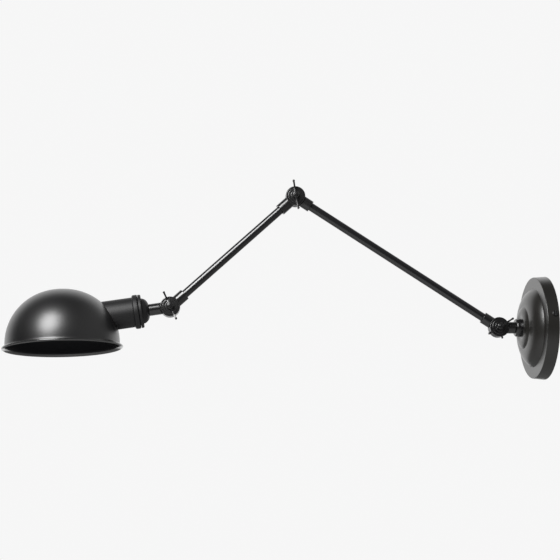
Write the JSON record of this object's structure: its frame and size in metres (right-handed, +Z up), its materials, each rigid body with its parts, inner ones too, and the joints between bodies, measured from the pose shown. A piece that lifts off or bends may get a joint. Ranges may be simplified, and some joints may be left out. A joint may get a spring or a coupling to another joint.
{
  "type": "articulating wall lamp",
  "caption": "Wall lamp with a round canopy, a jointed swing arm with wing-nut knuckles and a dome shade on a side-mounted lamp holder.",
  "frame": {"origin": "centre of the canopy's back, on the wall", "axes": "+X into the wall, +Z up, arm joints turn about Y"},
  "size_m": [0.6991, 0.1518, 0.258],
  "materials": {
    "black_enamel": "satin black powder coat",
    "zinc_steel": "zinc plated steel",
    "brass": "plain brass",
    "black_phenolic": "moulded black phenolic",
    "pale_nylon": "natural nylon",
    "glazed_ceramic": "glazed ceramic",
    "black_rubber": "moulded rubber",
    "friction_fibre": "dark friction fibre",
    "wire_sheath": "silicone insulated wire"
  },
  "bodies": {
    "canopy": {"canopy_shell": "black_enamel", "backplate": "zinc_steel", "canopy_side_screws": "black_enamel", "cable_grommet": "black_rubber", "terminal_block": "pale_nylon", "terminal_clamps": "brass", "terminal_screws": "zinc_steel", "earth_tag": "zinc_steel", "earth_screw": "brass", "swivel_base": "black_enamel", "canopy_stiffener": "zinc_steel", "swivel_base_nut": "zinc_steel", "canopy_wires": "wire_sheath"},
    "wall_neck": {"wall_knuckle": "black_enamel", "stop_pin": "black_enamel", "spigot_washer": "zinc_steel", "spigot_nut": "zinc_steel", "spigot_bush": "pale_nylon", "wall_neck_wires": "wire_sheath", "wall_joint_cover_washer": "black_enamel"},
    "lower_arm": {"lower_arm_tube": "black_enamel", "lower_arm_wall_knuckle": "black_enamel", "lower_arm_elbow_knuckle": "black_enamel", "lower_arm_wires": "wire_sheath", "wall_joint_bolt": "black_enamel", "wall_joint_friction_ring": "friction_fibre", "elbow_joint_bolt": "black_enamel", "elbow_joint_friction_ring": "friction_fibre"},
    "upper_arm": {"upper_arm_tube": "black_enamel", "upper_arm_elbow_knuckle": "black_enamel", "upper_arm_shade_knuckle": "black_enamel", "upper_arm_wires": "wire_sheath", "elbow_joint_cover_washer": "black_enamel", "shade_joint_cover_washer": "black_enamel"},
    "shade_holder": {"holder_knuckle": "black_enamel", "holder_nipple": "zinc_steel", "holder_cap": "black_enamel", "holder_lock_nut": "zinc_steel", "locking_ring": "black_enamel", "holder_sleeve": "black_enamel", "lampholder_body": "black_phenolic", "lampholder_core": "glazed_ceramic", "lampholder_terminals": "brass", "lampholder_thread_shell": "brass", "centre_contact": "brass", "holder_wires": "wire_sheath", "dome_shade": "black_enamel", "shade_joint_bolt": "black_enamel", "shade_joint_friction_ring": "friction_fibre"},
    "wall_wing_nut": {"wall_joint_wing_nut": "black_enamel"},
    "elbow_wing_nut": {"elbow_joint_wing_nut": "black_enamel"},
    "shade_wing_nut": {"shade_joint_wing_nut": "black_enamel"}
  },
  "joints": [
    {"name": "wall_swivel", "type": "hinge", "parent": "canopy", "child": "wall_neck", "pos_m": [-0.035, 0, 0], "axis": [1, 0, 0], "range_deg": [-160, 160]},
    {"name": "wall_pivot", "type": "hinge", "parent": "wall_neck", "child": "lower_arm", "pos_m": [-0.0604, 0, 0], "axis": [0, 1, 0], "range_deg": [-95, 57]},
    {"name": "elbow", "type": "hinge", "parent": "lower_arm", "child": "upper_arm", "pos_m": [-0.32746, 0, 0.17079], "axis": [0, 1, 0], "range_deg": [-33, 180]},
    {"name": "shade_pivot", "type": "hinge", "parent": "upper_arm", "child": "shade_holder", "pos_m": [-0.48887, 0, 0.02027], "axis": [0, 1, 0], "range_deg": [-140, 74]},
    {"name": "wall_nut_turn", "type": "hinge", "parent": "lower_arm", "child": "wall_wing_nut", "pos_m": [-0.0604, 0, 0], "axis": [0, -1, 0], "range_deg": [0, 360]},
    {"name": "elbow_nut_turn", "type": "hinge", "parent": "lower_arm", "child": "elbow_wing_nut", "pos_m": [-0.32746, 0, 0.17079], "axis": [0, -1, 0], "range_deg": [0, 360]},
    {"name": "shade_nut_turn", "type": "hinge", "parent": "shade_holder", "child": "shade_wing_nut", "pos_m": [-0.48887, 0, 0.02027], "axis": [0, -1, 0], "range_deg": [0, 360]}
  ]
}
